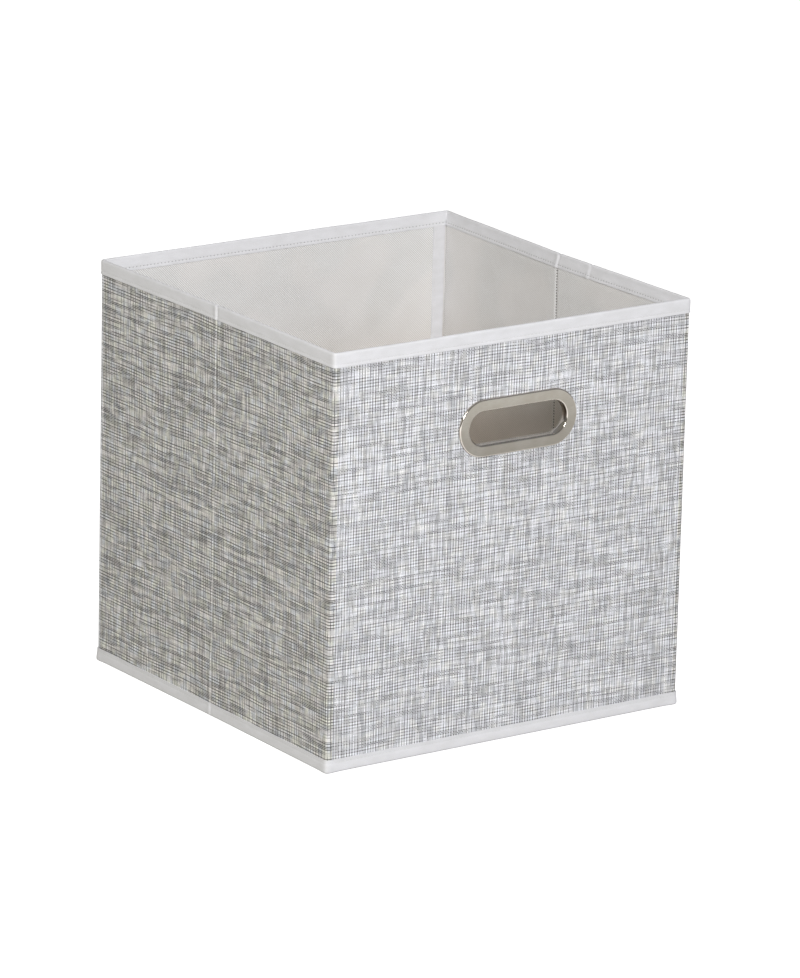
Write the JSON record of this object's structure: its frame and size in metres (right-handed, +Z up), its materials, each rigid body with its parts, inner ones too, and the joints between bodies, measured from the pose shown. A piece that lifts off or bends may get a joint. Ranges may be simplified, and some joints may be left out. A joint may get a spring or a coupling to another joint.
{
  "type": "fabric storage bin",
  "caption": "Square open-topped fabric storage bin with board-stiffened walls, bound edges, a metal grommet handle and side walls that fold inwards so it packs flat.",
  "frame": {"origin": "centre of the flat resting face under the fabric base", "axes": "+Z up to the open rim, the wall with the handle faces -Y, the left wall faces -X"},
  "size_m": [0.3026, 0.2994, 0.3],
  "materials": {
    "heathered_fabric": "matt heathered light grey weave",
    "nonwoven_lining": "matt embossed warm grey nonwoven",
    "binding_tape": "matt off-white nonwoven tape",
    "base_cloth": "matt grey nonwoven",
    "chipboard": "plain grey-brown board",
    "satin_nickel": "satin nickel plate with a bright rolled lip"
  },
  "bodies": {
    "front": {"front_outer_fabric": "heathered_fabric", "front_board": "chipboard", "front_lining": "nonwoven_lining", "front_top_binding": "binding_tape", "front_bottom_binding": "binding_tape", "handle_bezel": "satin_nickel", "handle_back_ring": "satin_nickel", "base_panel": "base_cloth"},
    "back": {"back_outer_fabric": "heathered_fabric", "back_board": "chipboard", "back_lining": "nonwoven_lining", "back_top_binding": "binding_tape", "back_bottom_binding": "binding_tape", "back_corner_seam_tape": "binding_tape"},
    "left_front": {"left_front_outer_fabric": "heathered_fabric", "left_front_board": "chipboard", "left_front_lining": "nonwoven_lining", "left_front_top_binding": "binding_tape", "left_front_bottom_binding": "binding_tape"},
    "left_back": {"left_back_outer_fabric": "heathered_fabric", "left_back_board": "chipboard", "left_back_lining": "nonwoven_lining", "left_back_top_binding": "binding_tape", "left_back_bottom_binding": "binding_tape"},
    "right_front": {"right_front_outer_fabric": "heathered_fabric", "right_front_board": "chipboard", "right_front_lining": "nonwoven_lining", "right_front_top_binding": "binding_tape", "right_front_bottom_binding": "binding_tape"},
    "right_back": {"right_back_outer_fabric": "heathered_fabric", "right_back_board": "chipboard", "right_back_lining": "nonwoven_lining", "right_back_top_binding": "binding_tape", "right_back_bottom_binding": "binding_tape"},
    "insert": {"insert_board": "chipboard", "insert_cover_top": "heathered_fabric", "insert_cover_bottom": "nonwoven_lining"}
  },
  "joints": [
    {"name": "left_front_corner", "type": "hinge", "parent": "front", "child": "left_front", "pos_m": [-0.146, -0.144, 0.15], "axis": [0, 0, -1], "range_deg": [0, 88], "deforming": ["base_panel", "back_bottom_binding", "left_front_bottom_binding", "left_back_bottom_binding", "right_front_bottom_binding", "right_back_bottom_binding"]},
    {"name": "left_centre_crease", "type": "hinge", "parent": "left_front", "child": "left_back", "pos_m": [-0.1517, 0, 0.15], "axis": [0, 0, 1], "range_deg": [0, 176]},
    {"name": "left_back_corner", "type": "hinge", "parent": "left_back", "child": "back", "pos_m": [-0.146, 0.144, 0.15], "axis": [0, 0, -1], "range_deg": [0, 88]},
    {"name": "right_front_corner", "type": "hinge", "parent": "front", "child": "right_front", "pos_m": [0.146, -0.144, 0.15], "axis": [0, 0, 1], "range_deg": [0, 88]},
    {"name": "right_centre_crease", "type": "hinge", "parent": "right_front", "child": "right_back", "pos_m": [0.1517, 0, 0.15], "axis": [0, 0, -1], "range_deg": [0, 176]},
    {"name": "insert_lift", "type": "slide", "parent": "front", "child": "insert", "axis": [0, 0, 1], "range_m": [0, 0.32]}
  ],
  "couplings": [
    {"joint": "left_centre_crease", "follows": "left_front_corner", "ratio": 2},
    {"joint": "left_back_corner", "follows": "left_front_corner", "ratio": 1},
    {"joint": "right_front_corner", "follows": "left_front_corner", "ratio": 1},
    {"joint": "right_centre_crease", "follows": "left_front_corner", "ratio": 2}
  ]
}
